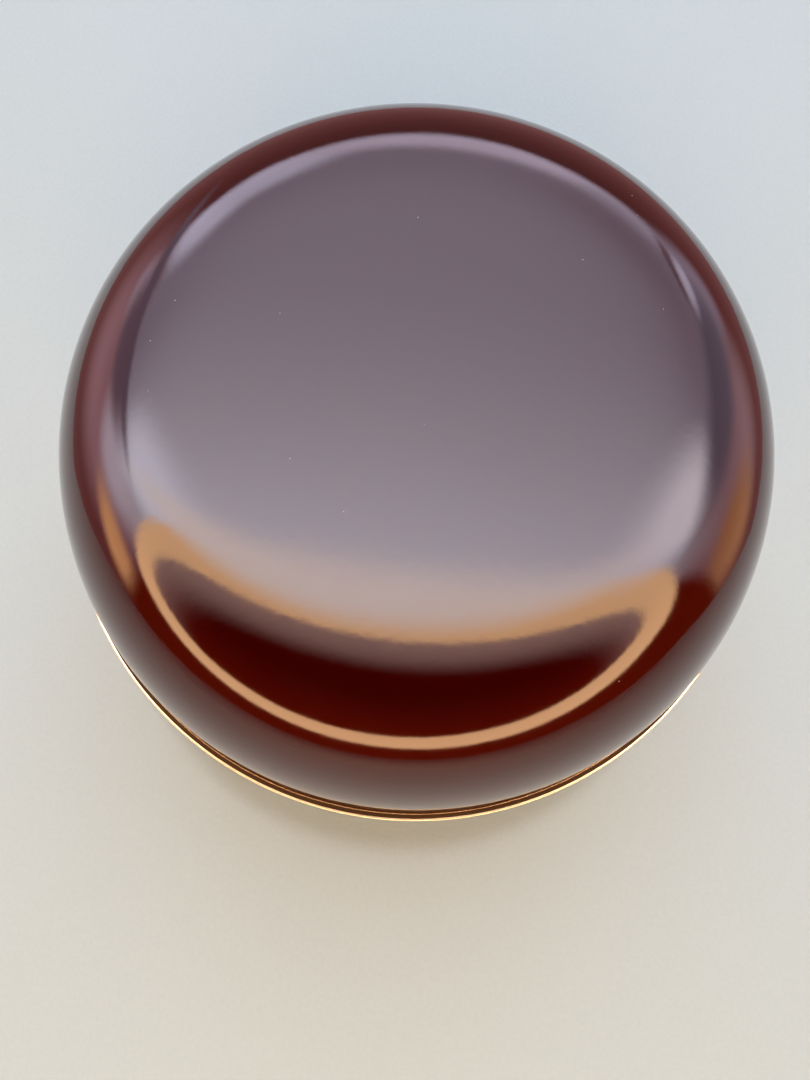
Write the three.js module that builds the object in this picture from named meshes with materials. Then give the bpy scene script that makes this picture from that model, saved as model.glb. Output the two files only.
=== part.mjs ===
// Lidded go stone bowl: a turned bowl on a low foot, and a deep, round-shouldered lid that lifts off.
// Millimetres, +Z up. The origin is the centre of the foot's underside, and every piece is turned
// about the Z axis.

import * as THREE from 'three';

// Driving dimensions.
const LID_RADIUS = 71.3;          // outside of the lid at its lower edge, where it is widest
const LID_FLARE = 1.3;            // how far the lid's side flares out on its way down to that edge
const LID_FLARE_HEIGHT = 12;
const LID_SHOULDER_HEIGHT = 39;   // from the lid's lower edge to the end of its round shoulder
const LID_SHOULDER_REACH = 23.6;  // how far the round shoulder comes in from the side
const LID_TOP_SLOPE = 1;          // degrees, at the edge of the nearly flat top
const LID_BLEND = 14;             // degrees of slope over which the shoulder fades into the top
const SEAM_HEIGHT = 57;           // top of the ledge that the lid rests on
const LEDGE_OVERHANG = 1.35;      // how far the ledge stands out beyond the lid
const FOOT_RADIUS = 37;
const FOOT_HEIGHT = 4;

// Wall thicknesses and fits.
const GAP = 0.3;                  // glue line, or running clearance, between neighbours
const LINING = 1;                 // lacquered lining of both the bowl and the lid
const COLLAR_WALL = 2.4;
const COLLAR_ABOVE = 7;           // how far the collar stands up inside the lid
const COLLAR_BELOW = 9;           // how far the collar reaches down inside the bowl
const LEDGE_THICKNESS = 1.6;
const LEDGE_EDGE_RADIUS = 0.5;
const LID_BAND_HEIGHT = 0.8;
const LID_WALL = 6;               // whole wall at the lid's lower edge, with its lining
const LID_TOP_WALL = 5;           // whole wall at the middle of the lid, with its lining
const BOWL_BASE = 6;              // turned wood over the foot
const FOOT_WALL = 6;
const EASE = 0.5;                 // small bevel that takes off a sharp edge

const SEGMENTS = 48;              // facets round every turned piece

// Radii and heights that follow from them.
const MOUTH_RADIUS = LID_RADIUS - LID_WALL;
const COLLAR_OUTER = MOUTH_RADIUS - GAP;
const COLLAR_INNER = COLLAR_OUTER - COLLAR_WALL;
const LID_BOTTOM = SEAM_HEIGHT + GAP;
const COLLAR_TOP = SEAM_HEIGHT + COLLAR_ABOVE;
const COLLAR_BOTTOM = SEAM_HEIGHT - COLLAR_BELOW;

const materials = {
  lacquer: finish('lacquer', 0x4a0c08, 0.08, 0),
  lining: finish('lining', 0x0b0908, 0.22, 0),
  gilt: finish('gilt', 0xc79a4b, 0.22, 1),
  wood: finish('wood', 0x3a0f0a, 0.3, 0),
};

function finish(name, color, roughness, metalness) {
  return new THREE.MeshStandardMaterial({ name, color, roughness, metalness });
}

// A point of a turned profile: distance from the axis, and height.
function at(radius, height) {
  return new THREE.Vector2(radius, height);
}

// Part of an ellipse, from one angle to another in degrees. 0 is straight out, 90 is straight up.
function arc(centre, reach, rise, from, to, steps) {
  const points = [];
  for (let i = 0; i <= steps; i += 1) {
    const angle = THREE.MathUtils.degToRad(from + ((to - from) * i) / steps);
    points.push(at(centre.x + reach * Math.cos(angle), centre.y + rise * Math.sin(angle)));
  }
  return points;
}

// A turned piece. The profile runs upwards along its outside, and it either starts and ends on
// the axis or is a closed ring, which this joins up.
function turned(name, material, profile) {
  const points = [...profile];
  const last = points[points.length - 1];
  if (points[0].x > 0 || last.x > 0) {
    points.push(points[0].clone());
  }
  const geometry = new THREE.LatheGeometry(points, SEGMENTS);
  geometry.rotateX(Math.PI / 2);
  const mesh = new THREE.Mesh(geometry, material);
  mesh.name = name;
  return mesh;
}

// A plain ring of rectangular section with its four edges eased.
function ringProfile(inner, outer, bottom, top) {
  return [
    at(outer - EASE, bottom),
    at(outer, bottom + EASE),
    at(outer, top - EASE),
    at(outer - EASE, top),
    at(inner + EASE, top),
    at(inner, top - EASE),
    at(inner, bottom + EASE),
    at(inner + EASE, bottom),
  ];
}

// ---- Bowl ----

const SHELL_TOP = SEAM_HEIGHT - LEDGE_THICKNESS - GAP;
const SHELL_INNER = COLLAR_INNER + LINING + GAP;
const LINING_TOP = COLLAR_BOTTOM - GAP;
const CAVITY_FLOOR = FOOT_HEIGHT + BOWL_BASE;
const CAVITY_FLAT = 33;           // radius of the flat floor inside the bowl

// The turned wooden bowl: a full, round side that tucks under to the foot, and a rebate at the
// mouth for the collar.
function bowlShell() {
  const side = arc(at(FOOT_RADIUS + 1, SHELL_TOP), LID_RADIUS - FOOT_RADIUS - 1,
    SHELL_TOP - FOOT_HEIGHT, -90, 0, 8);
  const cavity = arc(at(CAVITY_FLAT, LINING_TOP), SHELL_INNER - CAVITY_FLAT,
    LINING_TOP - CAVITY_FLOOR, 0, -90, 6);
  return turned('bowl_shell', materials.lacquer, [
    at(0, FOOT_HEIGHT),
    ...side,
    at(MOUTH_RADIUS, SHELL_TOP),
    at(MOUTH_RADIUS, LINING_TOP),
    ...cavity,
    at(0, CAVITY_FLOOR),
  ]);
}

// The black lining: a skin over the inside of the bowl, flush with the collar above it.
function bowlLining() {
  const under = arc(at(CAVITY_FLAT, LINING_TOP), SHELL_INNER - GAP - CAVITY_FLAT,
    LINING_TOP - CAVITY_FLOOR - GAP, -90, 0, 6);
  const over = arc(at(CAVITY_FLAT, LINING_TOP), COLLAR_INNER - CAVITY_FLAT,
    LINING_TOP - CAVITY_FLOOR - GAP - LINING, 0, -90, 6);
  return turned('bowl_lining', materials.lining, [
    at(0, CAVITY_FLOOR + GAP),
    ...under,
    ...over,
    at(0, CAVITY_FLOOR + GAP + LINING),
  ]);
}

// The collar glued into the mouth, which the lid slides down over.
function bowlCollar() {
  return turned('bowl_collar', materials.lining,
    ringProfile(COLLAR_INNER, COLLAR_OUTER, COLLAR_BOTTOM, COLLAR_TOP));
}

// The metal ledge round the mouth, gilt on its rounded outer edge. The lid rests on it.
function bowlRim() {
  const outer = LID_RADIUS + LEDGE_OVERHANG;
  const bottom = SEAM_HEIGHT - LEDGE_THICKNESS;
  const edge = at(outer - LEDGE_EDGE_RADIUS, SEAM_HEIGHT - LEDGE_EDGE_RADIUS);
  return turned('bowl_rim', materials.gilt, [
    at(MOUTH_RADIUS, bottom),
    at(outer - EASE, bottom),
    at(outer, bottom + EASE),
    ...arc(edge, LEDGE_EDGE_RADIUS, LEDGE_EDGE_RADIUS, 0, 90, 4),
    at(MOUTH_RADIUS, SEAM_HEIGHT),
  ]);
}

// The foot, turned on its own and glued under the bowl.
function footRing() {
  return turned('foot_ring', materials.wood,
    ringProfile(FOOT_RADIUS - FOOT_WALL, FOOT_RADIUS, 0, FOOT_HEIGHT - GAP));
}

// ---- Lid ----

const BAND_TOP = LID_BOTTOM + LID_BAND_HEIGHT;
const LID_SHELL_BOTTOM = BAND_TOP + GAP;
const SKIRT_TOP = COLLAR_TOP + 1;  // the lid's inside is straight up to here, past the collar
const SHOULDER_START = LID_RADIUS - LID_FLARE - LID_SHOULDER_REACH;
const LID_INSIDE_FLAT = 40;        // radius of the flat middle inside the lid
const SIDE_END = 24;               // degrees up the shoulder's ellipse, where its blend begins
const WALK = 0.05;
const SPACING = 3;                 // between the points of the blended part

// Slope of the lid's outside, in radians, at a distance from the axis: an elliptical shoulder
// whose slope fades smoothly into that of the nearly flat top.
function lidSlope(radius) {
  const out = (radius - SHOULDER_START) / LID_SHOULDER_REACH;
  const steepness = (LID_SHOULDER_HEIGHT / LID_SHOULDER_REACH) * out;
  const shoulder = out > 0 ? Math.atan2(steepness, Math.sqrt(1 - out * out)) : steepness;
  const top = (THREE.MathUtils.degToRad(LID_TOP_SLOPE) * radius) / SHOULDER_START;
  const blend = THREE.MathUtils.degToRad(LID_BLEND);
  return top + blend * Math.log1p(Math.exp((shoulder - top) / blend));
}

// Over the shoulder and the top to the axis, walking in a little at a time and rising with the
// slope.
function overTheTop(from) {
  const points = [];
  let { x, y } = from;
  let last = from;
  while (x > WALK) {
    y += WALK * Math.tan(lidSlope(x - WALK / 2));
    x -= WALK;
    const here = at(x, y);
    if (here.distanceTo(last) > SPACING && x > SPACING / 2) {
      points.push(here);
      last = here;
    }
  }
  return [...points, at(0, y)];
}

function lidOutside() {
  const start = THREE.MathUtils.radToDeg(
    Math.asin((LID_SHELL_BOTTOM - LID_BOTTOM) / LID_SHOULDER_HEIGHT));
  const side = arc(at(SHOULDER_START, LID_BOTTOM), LID_SHOULDER_REACH, LID_SHOULDER_HEIGHT,
    start, SIDE_END, 6);
  for (const point of side) {
    const low = Math.max(0, 1 - (point.y - LID_BOTTOM) / LID_FLARE_HEIGHT);
    point.x += LID_FLARE * low * low;
  }
  return [...side, ...overTheTop(side[side.length - 1])];
}

const LID_TOP = lidOutside().pop().y;

// The lid's inside, this far out from its finished surface.
function lidInside(offset) {
  const rise = LID_TOP - LID_TOP_WALL - SKIRT_TOP;
  return arc(at(LID_INSIDE_FLAT, SKIRT_TOP), MOUTH_RADIUS - LID_INSIDE_FLAT + offset,
    rise + offset, 0, 90, 6);
}

// The turned wooden lid: widest at its lower edge, round shoulder, nearly flat top.
function lidShell() {
  const offset = LINING + GAP;
  const inside = lidInside(offset);
  const ceiling = inside[inside.length - 1].y;
  return turned('lid_shell', materials.lacquer, [
    at(0, ceiling),
    ...inside.reverse(),
    at(MOUTH_RADIUS + offset, LID_SHELL_BOTTOM),
    ...lidOutside(),
  ]);
}

// The black lining inside the lid.
function lidLining() {
  const finished = lidInside(0);
  const glued = lidInside(LINING);
  return turned('lid_lining', materials.lining, [
    at(0, finished[finished.length - 1].y),
    ...finished.reverse(),
    at(MOUTH_RADIUS, LID_SHELL_BOTTOM),
    at(MOUTH_RADIUS + LINING, LID_SHELL_BOTTOM),
    ...glued,
    at(0, glued[glued.length - 1].y),
  ]);
}

// The thin gilt band let into the lid's lower edge.
function lidRim() {
  const ease = LID_BAND_HEIGHT / 4;
  return turned('lid_rim', materials.gilt, [
    at(MOUTH_RADIUS, LID_BOTTOM),
    at(LID_RADIUS - ease, LID_BOTTOM),
    at(LID_RADIUS, LID_BOTTOM + ease),
    at(LID_RADIUS, BAND_TOP),
    at(MOUTH_RADIUS, BAND_TOP),
  ]);
}

const bowl = new THREE.Group();
bowl.add(bowlShell(), bowlLining(), bowlCollar(), bowlRim(), footRing());

const lid = new THREE.Group();
lid.add(lidShell(), lidLining(), lidRim());

const goBowl = new THREE.Group();
goBowl.add(bowl, lid);

export default goBowl;
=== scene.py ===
"""Looks for a lidded go stone bowl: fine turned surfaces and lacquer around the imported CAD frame.

Everything is in metres, in the CAD frame: +Z up, origin at the centre of the foot's underside.
"""

import math

import bpy
from mathutils import Matrix, Vector


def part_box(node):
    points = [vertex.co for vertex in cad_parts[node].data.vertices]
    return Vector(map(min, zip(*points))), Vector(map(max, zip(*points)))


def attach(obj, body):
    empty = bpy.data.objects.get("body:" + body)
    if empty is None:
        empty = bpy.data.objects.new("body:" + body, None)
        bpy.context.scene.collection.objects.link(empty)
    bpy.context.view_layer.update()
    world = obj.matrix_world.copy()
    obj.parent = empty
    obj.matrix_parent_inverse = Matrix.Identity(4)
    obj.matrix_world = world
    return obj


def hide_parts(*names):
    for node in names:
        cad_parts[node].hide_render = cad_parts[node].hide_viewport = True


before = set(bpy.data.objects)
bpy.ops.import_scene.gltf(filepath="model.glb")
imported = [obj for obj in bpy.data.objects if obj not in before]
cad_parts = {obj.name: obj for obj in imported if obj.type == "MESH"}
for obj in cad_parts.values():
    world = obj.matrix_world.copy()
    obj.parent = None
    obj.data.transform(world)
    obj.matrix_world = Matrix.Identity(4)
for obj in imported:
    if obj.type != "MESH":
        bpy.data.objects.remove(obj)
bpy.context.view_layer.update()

MM = 0.001


# ---- Places and sizes, from the frame ----

def outer_radius(node):
    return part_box(node)[1].x


def bottom(node):
    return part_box(node)[0].z


def top(node):
    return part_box(node)[1].z


LID_RADIUS = outer_radius("lid_rim")
LID_BOTTOM = bottom("lid_rim")
BAND_TOP = top("lid_rim")
LID_TOP = top("lid_shell")
SEAM = top("bowl_rim")
LEDGE_RADIUS = outer_radius("bowl_rim")
LEDGE_BOTTOM = bottom("bowl_rim")
COLLAR_OUTER = outer_radius("bowl_collar")
COLLAR_TOP = top("bowl_collar")
COLLAR_BOTTOM = bottom("bowl_collar")
SHELL_TOP = top("bowl_shell")
SHELL_BOTTOM = bottom("bowl_shell")
LINING_TOP = top("bowl_lining")
LINING_OUTER = outer_radius("bowl_lining")
FOOT_RADIUS = outer_radius("foot_ring")
CEILING = top("lid_lining")

# Shape of the turned pieces, where a box can't give it.
SHOULDER_REACH = 23.6 * MM      # how far the lid's round shoulder comes in
SHOULDER_HEIGHT = 39 * MM
FLARE = 1.3 * MM                # how far the lid's side flares out on its way down to its edge
FLARE_HEIGHT = 12 * MM
SHOULDER_START = LID_RADIUS - FLARE - SHOULDER_REACH
SIDE_END = 24                   # degrees up the shoulder's ellipse, where its blend begins
TOP_SLOPE = math.radians(1)     # slope at the edge of the nearly flat top
BLEND = math.radians(14)        # slope over which the shoulder fades into the top
CLEARANCE = 0.3 * MM            # between the collar and the inside of the lid
COLLAR_WALL = 2.4 * MM
MOUTH_RADIUS = COLLAR_OUTER + CLEARANCE
COLLAR_INNER = COLLAR_OUTER - COLLAR_WALL
SKIRT_TOP = COLLAR_TOP + 1 * MM     # the lid's inside is straight up to here
LINING = 1 * MM
GLUED = 0.94 * LINING           # how far the lid's lining reaches towards the wood
GLUE = 0.05 * MM                # between the bowl's lining and the wood
INSIDE_FLAT = 40 * MM           # radius of the flat middle inside the lid
CAVITY_FLAT = 33 * MM           # radius of the flat floor inside the bowl
FOOT_WALL = 6 * MM
FOOT_EDGE = 0.7 * MM            # rounding of the pieces' edges
COLLAR_EDGE = 0.9 * MM
LEDGE_EDGE = 0.45 * MM
BAND_EDGE = 0.12 * MM
BAND_PROUD = 0.07 * MM          # how far the band's top stands out past the wood


# ---- Camera ----

# The camera looks steeply down from just in front of the bowl, and its right side dips a little.
CAMERA_LENS = 27.03
CAMERA_PLACE = Vector((0, -48.04 * MM, LID_BOTTOM + 165.36 * MM))
CAMERA_AIM = Vector((-0.62 * MM, -16.93 * MM, LID_BOTTOM))
CAMERA_ROLL = math.radians(4.29)


def make_camera():
    data = bpy.data.cameras.new("camera")
    data.lens = CAMERA_LENS
    data.sensor_width = 36
    data.sensor_fit = "AUTO"
    data.clip_start = 0.005
    camera = bpy.data.objects.new("camera", data)
    bpy.context.scene.collection.objects.link(camera)
    look = (CAMERA_AIM - CAMERA_PLACE).to_track_quat("-Z", "Y").to_matrix().to_4x4()
    camera.matrix_world = (Matrix.Translation(CAMERA_PLACE) @ look
                           @ Matrix.Rotation(CAMERA_ROLL, 4, "Z"))
    bpy.context.scene.camera = camera


# ---- Node helpers ----

def add(tree, kind, inputs=None, **settings):
    """A new node. An input is set to a value, or linked when it is given a socket."""
    made = tree.nodes.new(kind)
    for name, value in settings.items():
        setattr(made, name, value)
    for key, value in (inputs or {}).items():
        if isinstance(value, bpy.types.NodeSocket):
            tree.links.new(value, made.inputs[key])
        else:
            made.inputs[key].default_value = value
    return made


def maths(tree, operation, *values):
    made = add(tree, "ShaderNodeMath", dict(enumerate(values)), operation=operation)
    return made.outputs[0]


def ramp(tree, value, low, high, to_low=0.0, to_high=1.0):
    """value from low to high, smoothly mapped onto to_low to to_high."""
    made = add(tree, "ShaderNodeMapRange", {"Value": value, "From Min": low, "From Max": high,
                                            "To Min": to_low, "To Max": to_high},
               interpolation_type="SMOOTHSTEP")
    return made.outputs["Result"]


def mix(tree, factor, first, second):
    """A colour between two colours. Each is a socket or red, green and blue."""
    made = tree.nodes.new("ShaderNodeMix")
    made.data_type = "RGBA"
    for index, value in ((0, factor), (6, first), (7, second)):
        if isinstance(value, bpy.types.NodeSocket):
            tree.links.new(value, made.inputs[index])
        else:
            made.inputs[index].default_value = value if index == 0 else (*value, 1)
    return made.outputs[2]


def noise(tree, where, scale, detail=2.0, roughness=0.5):
    made = add(tree, "ShaderNodeTexNoise", {"Vector": where, "Scale": scale, "Detail": detail,
                                            "Roughness": roughness})
    return made.outputs["Fac"]


def bump(tree, height, distance, below=None):
    """A bump of this height pattern, distance deep in metres, on top of another one."""
    inputs = {"Height": height, "Distance": distance, "Strength": 1.0}
    if below is not None:
        inputs["Normal"] = below
    return add(tree, "ShaderNodeBump", inputs).outputs["Normal"]


def material(name):
    """A new material: its node tree, its main shader and its object coordinates."""
    made = bpy.data.materials.new(name)
    made.use_nodes = True
    tree = made.node_tree
    shader = tree.nodes["Principled BSDF"]
    where = tree.nodes.new("ShaderNodeTexCoord").outputs["Object"]
    return made, tree, shader, where


def from_axis(tree, where):
    """Distance from the Z axis."""
    parts = add(tree, "ShaderNodeSeparateXYZ", {"Vector": where})
    squares = maths(tree, "ADD", maths(tree, "MULTIPLY", parts.outputs[0], parts.outputs[0]),
                    maths(tree, "MULTIPLY", parts.outputs[1], parts.outputs[1]))
    return maths(tree, "SQRT", squares)


def round_axis(tree, where, along):
    """Coordinates that stretch a pattern into fine rings round the Z axis."""
    parts = add(tree, "ShaderNodeSeparateXYZ", {"Vector": where})
    angle = maths(tree, "ARCTAN2", parts.outputs[1], parts.outputs[0])
    made = add(tree, "ShaderNodeCombineXYZ", {"X": from_axis(tree, where), "Y": parts.outputs[2],
                                              "Z": maths(tree, "MULTIPLY", angle, along)})
    return made.outputs[0]


def specks(tree, where, spacing, size):
    """1 inside small scattered specks, 0 between them."""
    cells = add(tree, "ShaderNodeTexVoronoi", {"Vector": where, "Scale": 1 / spacing})
    return ramp(tree, cells.outputs["Distance"], size / spacing, 0.6 * size / spacing)


# ---- Materials ----

DEEP_RED = (0.033, 0.0002, 0.0001)
THIN_RED = (0.068, 0.0026, 0.0003)
DUST = (0.35, 0.32, 0.30)
THIN_START = 48 * MM            # distances from the axis over which the red lacquer thins
THIN_END = 55 * MM
GILT_INNER = LEDGE_RADIUS - 0.52 * MM   # between these the ledge's dark brown, painted shade of the gap under the lid, gives way to gilt
GILT_OUTER = LEDGE_RADIUS - 0.40 * MM


def lacquer_material():
    """See-through red-brown lacquer: deepest on the flats, redder where it thins on the curves."""
    made, tree, shader, where = material("red_lacquer")
    reach = from_axis(tree, where)
    cloud = noise(tree, where, 45, detail=3)
    thin = maths(tree, "MULTIPLY", ramp(tree, reach, THIN_START, THIN_END),
                 ramp(tree, cloud, 0.2, 0.8, 0.75, 1.0))
    colour = mix(tree, thin, DEEP_RED, THIN_RED)
    dust = specks(tree, where, 5.5 * MM, 0.13 * MM)
    tree.links.new(mix(tree, dust, colour, DUST), shader.inputs["Base Color"])
    rough = ramp(tree, noise(tree, where, 220, detail=4), 0.3, 0.7, 0.06, 0.09)
    tree.links.new(maths(tree, "ADD", rough, maths(tree, "MULTIPLY", dust, 0.4)),
                   shader.inputs["Roughness"])
    wobble = bump(tree, noise(tree, where, 38, detail=1), 0.05 * MM)
    peel = bump(tree, noise(tree, where, 620, detail=2), 0.006 * MM, wobble)
    tree.links.new(peel, shader.inputs["Normal"])
    shader.inputs["IOR"].default_value = 1.45
    return made


def lining_material():
    """Black lacquer over cloth: the weave just tells through a soft gloss."""
    made, tree, shader, where = material("black_lacquer")
    cloud = noise(tree, where, 60, detail=4)
    tree.links.new(mix(tree, cloud, (0.010, 0.008, 0.007), (0.020, 0.015, 0.013)),
                   shader.inputs["Base Color"])
    tree.links.new(ramp(tree, cloud, 0.3, 0.7, 0.16, 0.26), shader.inputs["Roughness"])
    weave = add(tree, "ShaderNodeTexWave", {"Vector": where, "Scale": 260, "Distortion": 1.5},
                wave_type="BANDS", bands_direction="X")
    weft = add(tree, "ShaderNodeTexWave", {"Vector": where, "Scale": 260, "Distortion": 1.5},
               wave_type="BANDS", bands_direction="Y")
    cloth = maths(tree, "MULTIPLY", weave.outputs["Fac"], weft.outputs["Fac"])
    normal = bump(tree, cloth, 0.008 * MM, bump(tree, noise(tree, where, 40), 0.06 * MM))
    tree.links.new(normal, shader.inputs["Normal"])
    shader.inputs["IOR"].default_value = 1.5
    return made


def gilt_material():
    """Old gilt, gone dull and brown, with fine turning marks."""
    made, tree, shader, where = material("gilt")
    turning = noise(tree, round_axis(tree, where, 0.0008), 9000, detail=2)
    tarnish = ramp(tree, noise(tree, where, 130, detail=5), 0.52, 0.72)
    colour = mix(tree, tarnish, (0.46, 0.34, 0.22), (0.30, 0.20, 0.11))
    tree.links.new(colour, shader.inputs["Base Color"])
    rough = maths(tree, "ADD", ramp(tree, turning, 0.3, 0.7, 0.12, 0.22),
                  maths(tree, "MULTIPLY", tarnish, 0.12))
    tree.links.new(rough, shader.inputs["Roughness"])
    tree.links.new(bump(tree, turning, 0.002 * MM), shader.inputs["Normal"])
    shader.inputs["Metallic"].default_value = 1.0
    return made


def ledge_material():
    """Dark brown on the ledge's flat top, painted shade of the shadowed gap under the lid's edge,
    and pale gilt on its round outer edge.
    """
    made, tree, shader, where = material("gap_shade_painted_ledge_gilt_edge")
    grain = noise(tree, round_axis(tree, where, 0.002), 2500, detail=3)
    edge = ramp(tree, from_axis(tree, where), GILT_INNER, GILT_OUTER)
    # dark: painted shade, the shadow of the gap under the lid's edge laid into the ledge's colour
    dark = mix(tree, grain, (0.030, 0.012, 0.001), (0.075, 0.032, 0.008))
    gold = mix(tree, grain, (0.97, 0.87, 0.66), (0.90, 0.76, 0.50))
    tree.links.new(mix(tree, edge, dark, gold), shader.inputs["Base Color"])
    tree.links.new(edge, shader.inputs["Metallic"])
    tree.links.new(ramp(tree, edge, 0.0, 1.0, 0.5, 0.3), shader.inputs["Roughness"])
    tree.links.new(bump(tree, grain, 0.004 * MM), shader.inputs["Normal"])
    shader.inputs["Specular IOR Level"].default_value = 0.1
    return made


def foot_material():
    """Dark brown lacquer, rubbed through to a paler brown where it stands on the table."""
    made, tree, shader, where = material("foot_lacquer")
    height = add(tree, "ShaderNodeSeparateXYZ", {"Vector": where}).outputs[2]
    grain = noise(tree, round_axis(tree, where, 0.004), 900, detail=4)
    low = ramp(tree, height, 0.5 * MM, 0.0)
    worn = maths(tree, "MULTIPLY", low, ramp(tree, grain, 0.40, 0.62))
    colour = mix(tree, worn, (0.030, 0.004, 0.002), (0.16, 0.075, 0.035))
    tree.links.new(colour, shader.inputs["Base Color"])
    tree.links.new(ramp(tree, worn, 0.0, 1.0, 0.28, 0.62), shader.inputs["Roughness"])
    tree.links.new(bump(tree, grain, 0.015 * MM), shader.inputs["Normal"])
    return made


def floor_material():
    """A pale matt sheet with the finest of grain."""
    made, tree, shader, where = material("floor")
    grain = noise(tree, where, 900, detail=6, roughness=0.7)
    tree.links.new(mix(tree, grain, (0.70, 0.70, 0.68), (0.80, 0.80, 0.78)),
                   shader.inputs["Base Color"])
    tree.links.new(bump(tree, grain, 0.12 * MM), shader.inputs["Normal"])
    shader.inputs["Roughness"].default_value = 0.75
    shader.inputs["Specular IOR Level"].default_value = 0.2
    return made


# ---- Turned shapes ----

SEGMENTS = 288
STEP = 0.5 * MM


def arc(centre, reach, rise, start, end, steps):
    """Part of an ellipse in a profile, angles in degrees: 0 is straight out, 90 straight up."""
    points = []
    for i in range(steps + 1):
        angle = math.radians(start + (end - start) * i / steps)
        points.append((centre[0] + reach * math.cos(angle), centre[1] + rise * math.sin(angle)))
    return points


def evenly(points, step):
    """The same line with its points a step apart."""
    made = [points[0]]
    left = step
    for a, b in zip(points, points[1:]):
        length = math.dist(a, b)
        while length > left:
            share = left / length
            a = (a[0] + (b[0] - a[0]) * share, a[1] + (b[1] - a[1]) * share)
            made.append(a)
            length = math.dist(a, b)
            left = step
        left -= length
    return made + [points[-1]]


def rounded(points, radius, steps=6):
    """A closed profile with every sharp corner off the axis rounded."""
    made = []
    for i, p in enumerate(points):
        a, b = Vector(points[i - 1]), Vector(points[(i + 1) % len(points)])
        here = Vector(p)
        before, after = a - here, b - here
        if p[0] < 1e-6 or before.length < 1e-6 or after.length < 1e-6:
            made.append(p)
            continue
        turn = before.angle(after)
        if turn > math.radians(150):
            made.append(p)
            continue
        cut = min(radius / math.tan(turn / 2), 0.45 * before.length, 0.45 * after.length)
        start = here + before.normalized() * cut
        end = here + after.normalized() * cut
        for j in range(steps + 1):
            t = j / steps
            q = (1 - t) ** 2 * start + 2 * t * (1 - t) * here + t ** 2 * end
            made.append((q.x, q.y))
    return made


def turned(name, profile, finish, body, node):
    """A closed solid of revolution. The profile runs upwards along its outside."""
    rings = []
    verts = []
    for r, z in profile:
        if r < 1e-7:
            rings.append([len(verts)])
            verts.append((0, 0, z))
            continue
        rings.append(list(range(len(verts), len(verts) + SEGMENTS)))
        for i in range(SEGMENTS):
            angle = math.tau * i / SEGMENTS
            verts.append((r * math.cos(angle), r * math.sin(angle), z))
    pairs = list(zip(rings, rings[1:]))
    if len(rings[0]) > 1:
        pairs.append((rings[-1], rings[0]))
    faces = []
    for low, high in pairs:
        for i in range(SEGMENTS):
            j = (i + 1) % SEGMENTS
            face = [low[i % len(low)], low[j % len(low)], high[j % len(high)], high[i % len(high)]]
            face = list(dict.fromkeys(face))
            if len(face) > 2:
                faces.append(face)
    mesh = bpy.data.meshes.new(name)
    mesh.from_pydata(verts, [], faces)
    mesh.shade_smooth()
    mesh.set_sharp_from_angle(angle=math.radians(40))
    mesh.materials.append(finish)
    made = bpy.data.objects.new(name, mesh)
    bpy.context.scene.collection.objects.link(made)
    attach(made, body)
    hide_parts(node)
    return made


# ---- Lid ----

def lid_slope(radius):
    """Slope of the lid's outside: an elliptical shoulder that fades into the nearly flat top."""
    out = (radius - SHOULDER_START) / SHOULDER_REACH
    shoulder = SHOULDER_HEIGHT / SHOULDER_REACH * out
    if out > 0:
        shoulder = math.atan2(shoulder, math.sqrt(1 - out * out))
    flat = TOP_SLOPE * radius / SHOULDER_START
    return flat + BLEND * math.log1p(math.exp((shoulder - flat) / BLEND))


def lid_outside():
    """From the gilt band up the side, over the shoulder and the top to the axis."""
    walk = 0.05 * MM
    first = math.degrees(math.asin((BAND_TOP - LID_BOTTOM) / SHOULDER_HEIGHT))
    points = []
    for radius, height in arc((SHOULDER_START, LID_BOTTOM), SHOULDER_REACH, SHOULDER_HEIGHT,
                              first, SIDE_END, 60):
        low = max(0, 1 - (height - LID_BOTTOM) / FLARE_HEIGHT)
        points.append((radius + FLARE * low * low, height))
    radius, height = points[-1]
    while radius > walk:
        height += walk * math.tan(lid_slope(radius - walk / 2))
        radius -= walk
        points.append((radius, height))
    line = evenly(points, STEP)
    line[-1] = (0, LID_TOP)
    return line


def lid_inside(offset):
    """The lid's inside from the middle down to the end of its straight skirt."""
    return arc((INSIDE_FLAT, SKIRT_TOP), MOUTH_RADIUS - INSIDE_FLAT + offset,
               CEILING - LINING - SKIRT_TOP + offset, 90, 0, 48)


def make_lid(lacquer, lining, gilt):
    outside = lid_outside()
    shell_inner = MOUTH_RADIUS + LINING
    under = lid_inside(LINING)
    profile = [(0, under[0][1]), *under, (shell_inner, BAND_TOP), *outside]
    turned("lacquered_lid", profile, lacquer, "lid", "lid_shell")
    skin = lid_inside(0)
    glued = lid_inside(GLUED)
    profile = [(0, skin[0][1]), *skin, (MOUTH_RADIUS, BAND_TOP),
               (MOUTH_RADIUS + GLUED, BAND_TOP), *reversed(glued), (0, glued[0][1])]
    turned("lid_inner_skin", profile, lining, "lid", "lid_lining")
    band = [(MOUTH_RADIUS, LID_BOTTOM), (LID_RADIUS, LID_BOTTOM),
            (outside[0][0] + BAND_PROUD, BAND_TOP), (MOUTH_RADIUS, BAND_TOP)]
    turned("lid_gilt_band", rounded(band, BAND_EDGE), gilt, "lid", "lid_rim")


# ---- Bowl ----

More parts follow.
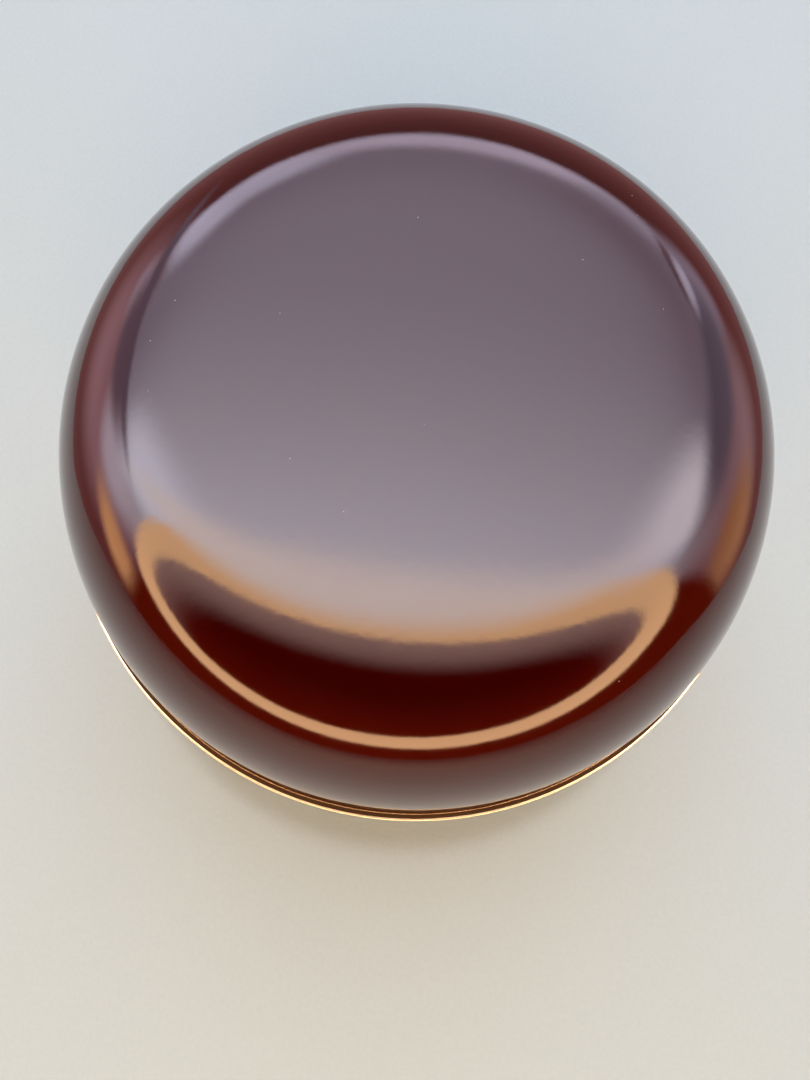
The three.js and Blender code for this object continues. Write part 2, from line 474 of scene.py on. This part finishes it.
def make_bowl(lacquer, lining, rim, foot):
    side = arc((FOOT_RADIUS + 1 * MM, SHELL_TOP), LID_RADIUS - FOOT_RADIUS - 1 * MM,
               SHELL_TOP - SHELL_BOTTOM, -90, 0, 96)
    shell_inner = LINING_OUTER + GLUE
    floor = bottom("bowl_lining") - GLUE
    cavity = arc((CAVITY_FLAT, LINING_TOP), shell_inner - CAVITY_FLAT, LINING_TOP - floor,
                 0, -90, 64)
    profile = [(0, SHELL_BOTTOM), *side, (LID_RADIUS, LEDGE_BOTTOM), (MOUTH_RADIUS, LEDGE_BOTTOM),
               (MOUTH_RADIUS, LINING_TOP), *cavity, (0, floor)]
    turned("lacquered_bowl", profile, lacquer, "bowl", "bowl_shell")

    depth = LINING_TOP - bottom("bowl_lining")
    under = arc((CAVITY_FLAT, LINING_TOP), LINING_OUTER - CAVITY_FLAT, depth, -90, 0, 64)
    over = arc((CAVITY_FLAT, LINING_TOP), COLLAR_INNER - CAVITY_FLAT, depth - LINING, 0, -90, 64)
    profile = [(0, LINING_TOP - depth), *under, (LINING_OUTER, COLLAR_BOTTOM),
               (COLLAR_INNER, COLLAR_BOTTOM), *over, (0, LINING_TOP - depth + LINING)]
    turned("bowl_inner_skin", profile, lining, "bowl", "bowl_lining")

    collar = [(COLLAR_INNER, COLLAR_BOTTOM), (COLLAR_OUTER, COLLAR_BOTTOM),
              (COLLAR_OUTER, COLLAR_TOP), (COLLAR_INNER, COLLAR_TOP)]
    turned("inner_collar", rounded(collar, COLLAR_EDGE), lining, "bowl", "bowl_collar")

    ledge = [(MOUTH_RADIUS, LEDGE_BOTTOM), (LEDGE_RADIUS, LEDGE_BOTTOM), (LEDGE_RADIUS, SEAM),
             (MOUTH_RADIUS, SEAM)]
    turned("gilt_edged_ledge", rounded(ledge, LEDGE_EDGE, 10), rim, "bowl", "bowl_rim")

    inner = FOOT_RADIUS - FOOT_WALL
    ring = [(inner, 0), (FOOT_RADIUS, 0), (FOOT_RADIUS, SHELL_BOTTOM), (inner, SHELL_BOTTOM)]
    turned("turned_foot", rounded(ring, FOOT_EDGE), foot, "bowl", "foot_ring")


# ---- Stage ----

# The table top is a plain pale sheet with a round far end. It stops short there, so the
# lacquer's far side mirrors the dim room beyond it.
TABLE_END = 0.27
TABLE_NEAR = ((-1.2, -0.5), (-1.2, -1.4), (1.2, -1.4), (1.2, -0.5))


def make_floor():
    end = [(TABLE_END * math.cos(math.radians(a)), TABLE_END * math.sin(math.radians(a)))
           for a in range(0, 181, 3)]
    outline = [(x, y, 0) for x, y in (*end, *TABLE_NEAR)]
    mesh = bpy.data.meshes.new("floor")
    mesh.from_pydata(outline, [], [tuple(range(len(outline)))])
    mesh.materials.append(floor_material())
    floor = bpy.data.objects.new("floor", mesh)
    bpy.context.scene.collection.objects.link(floor)


# The studio is a sky of soft cards. Each card is placed by how many degrees it lies east and
# north of straight overhead, where north is away from the camera. Later cards cover earlier ones.
# name, (east, north), reach in degrees, softness, colour, strength
CARDS = (
    ("dim room", (0, 0), (200, 200), 0.1, (1.0, 0.50, 0.50), 0.44),
    ("left wall", (-64, 16), (27, 37), 1.0, (1.0, 0.60, 0.69), 2.3),
    ("left wall's bright foot", (-61, 5), (11, 12), 1.2, (1.0, 0.84, 1.0), 4.6),
    ("left wall's bright head", (-57, 41), (6, 7), 1.3, (1.0, 0.78, 0.97), 2.8),
    ("right wall", (66, 16), (27, 30), 0.9, (1.0, 0.70, 0.79), 2.0),
    ("right wall's high end", (50, 50), (13, 10), 1.4, (1.0, 0.88, 1.15), 2.3),
    ("left warm patch", (-78, -20), (8, 16), 1.2, (1.0, 0.49, 0.22), 6.2),
    ("right warm patch", (88, 1), (14, 19), 1.2, (1.0, 0.49, 0.24), 2.5),
    ("overhead light", (0, 12), (49, 52), 0.16, (1.0, 0.95, 1.2), 2.3),
    ("far left light, low end", (-35, 46), (9, 8), 1.0, (1.0, 0.95, 1.22), 6.2),
    ("far left light, high end", (-25, 52), (11, 7), 1.0, (1.0, 0.95, 1.22), 5.4),
    ("far right light", (4, 57), (28, 5.5), 1.2, (1.0, 0.86, 1.1), 5.4),
    ("far right light's end", (29, 53), (9, 5), 1.2, (1.0, 0.90, 1.15), 3.6),
    ("right mauve cloud", (27, 38), (15, 13), 1.5, (1.0, 0.88, 1.12), 1.8),
    ("middle cloud", (-3, 27), (24, 11), 1.7, (1.0, 0.97, 1.18), 3.4),
    ("overhead glow", (-6, -1), (44, 18), 1.6, (1.0, 0.97, 1.10), 8.0),
    ("left glow", (-35, 6), (13, 8), 1.2, (1.0, 1.0, 1.18), 9.3),
    ("dark below", (25, -56), (118, 48), 0.12, (1.0, 0.12, 0.04), 0.25),
    # The camera's shade, with a veil of light over its far half.
    ("veil", (-2, -28), (53.5, 26.5, 42), 0.06, (1.0, 0.68, 0.60), 3.3),
    ("shade", (-1, -45), (58, 35.5), 0.38, (1.0, 0.1, 0.04), 0.06),
)
# The warm lit ring round the camera's shade.
RING_OUTER = ((0, -28), (64, 33, 54))
RING_INNER = ((-2, -28), (53.5, 25.5, 42))
RING_LIGHT = (11.4, 6.6, 3.35)
RING_SOFTNESS = 0.06
FRONT_CARDS = (
    ("glare", (-8, 4.4), (31, 2.8, 3.8), 1.6, (1.0, 0.86, 0.81), 10.9),
    ("right glow", (36, 8), (13, 9, 8), 1.2, (1.0, 0.91, 1.0), 9.8),
    ("left dark post", (-48, 28), (3.2, 34, 21), 0.8, (0.8, 0.84, 1.15), 1.1),
    ("left dark bulge", (-54.5, 26), (8, 14), 1.0, (0.9, 0.82, 1.1), 1.1),
    ("right dark panel", (53, 29), (12, 22), 1.0, (0.85, 1.0, 1.35), 1.0),
    ("right dark streak", (38.5, 48), (2.2, 7), 0.9, (1.0, 0.8, 1.0), 0.9),
    ("right bright spot", (43, 47), (3, 6), 1.2, (1.0, 0.9, 1.15), 4.8),
)
GAIN = 1.17                     # on all the cards and the ring
FILL = (0.17, 0.17, 0.17)       # light from all round that falls on matt surfaces
BACKDROP = (0.62, 0.63, 0.64)


def card_mask(tree, east, north, place, reach, softness):
    """1 inside a card, 0 outside, fading over its edge.

    A card reaches reach[0] to each side, and reach[1] to its far and near ends. It is egg-shaped
    when a third number gives its near end's own reach.
    """
    across = maths(tree, "DIVIDE", maths(tree, "SUBTRACT", east, place[0]), reach[0])
    off = maths(tree, "SUBTRACT", north, place[1])
    along = maths(tree, "MAXIMUM", maths(tree, "DIVIDE", off, reach[1]),
                  maths(tree, "DIVIDE", off, -reach[-1]))
    size = add(tree, "ShaderNodeCombineXYZ", {"X": across, "Y": along}).outputs[0]
    length = add(tree, "ShaderNodeVectorMath", {0: size}, operation="LENGTH").outputs["Value"]
    return ramp(tree, length, 1 + softness / 2, 1 - softness / 2)


def laid_over(tree, light, east, north, card):
    place, reach, softness, colour, strength = card[1:]
    mask = card_mask(tree, east, north, place, reach, softness)
    return mix(tree, mask, light, tuple(GAIN * strength * c for c in colour))


def make_sky():
    world = bpy.data.worlds.new("studio")
    world.use_nodes = True
    bpy.context.scene.world = world
    tree = world.node_tree
    tree.nodes.clear()
    way = add(tree, "ShaderNodeTexCoord").outputs["Generated"]
    parts = add(tree, "ShaderNodeSeparateXYZ", {"Vector": way})
    x, y, z = parts.outputs
    tilt = maths(tree, "MULTIPLY", maths(tree, "ARCCOSINE", z), 180 / math.pi)
    level = maths(tree, "MAXIMUM", from_axis(tree, way), 1e-6)
    east = maths(tree, "MULTIPLY", maths(tree, "DIVIDE", x, level), tilt)
    north = maths(tree, "MULTIPLY", maths(tree, "DIVIDE", y, level), tilt)
    light = mix(tree, 0.0, BACKDROP, BACKDROP)
    for card in CARDS:
        light = laid_over(tree, light, east, north, card)
    ring = maths(tree, "MULTIPLY", card_mask(tree, east, north, *RING_OUTER, RING_SOFTNESS),
                 maths(tree, "SUBTRACT", 1.0,
                       card_mask(tree, east, north, *RING_INNER, RING_SOFTNESS)))
    light = mix(tree, ring, light, tuple(GAIN * c for c in RING_LIGHT))
    for card in FRONT_CARDS:
        light = laid_over(tree, light, east, north, card)
    path = add(tree, "ShaderNodeLightPath")
    mirrored = path.outputs["Is Glossy Ray"]
    studio = add(tree, "ShaderNodeBackground", {"Color": mix(tree, mirrored, FILL, light)})
    plain = add(tree, "ShaderNodeBackground", {"Color": (*BACKDROP, 1)})
    shown = add(tree, "ShaderNodeMixShader", {0: path.outputs["Is Camera Ray"],
                                              1: studio.outputs[0], 2: plain.outputs[0]})
    add(tree, "ShaderNodeOutputWorld", {"Surface": shown.outputs[0]})


def soft_light(name, place, aim, size, colour, power):
    """A broad area light that matt surfaces feel and polished ones don't mirror."""
    data = bpy.data.lights.new(name, "AREA")
    data.shape = "SQUARE"
    data.size = size
    data.color = colour
    data.energy = power
    lamp = bpy.data.objects.new(name, data)
    bpy.context.scene.collection.objects.link(lamp)
    lamp.location = place
    lamp.rotation_mode = "QUATERNION"
    lamp.rotation_quaternion = (Vector(aim) - Vector(place)).to_track_quat("-Z", "Y")
    lamp.visible_camera = False
    lamp.visible_glossy = False


make_camera()
bpy.context.scene.view_settings.view_transform = "Standard"
red_lacquer = lacquer_material()
black_lacquer = lining_material()
make_lid(red_lacquer, black_lacquer, gilt_material())
make_bowl(red_lacquer, black_lacquer, ledge_material(), foot_material())
make_floor()
make_sky()
soft_light("cool_far_light", (0, 0.42, 0.6), (0, 0.05, 0), 0.7, (0.59, 0.78, 1.0), 3.3)
soft_light("warm_near_light", (0, -0.45, 0.42), (0, -0.12, 0), 0.45, (1.0, 0.82, 0.50), 1.85)
soft_light("overhead_light", (0, 0.19, 1.0), (0, 0, 0), 0.09, (0.94, 0.96, 1.0), 2.1)
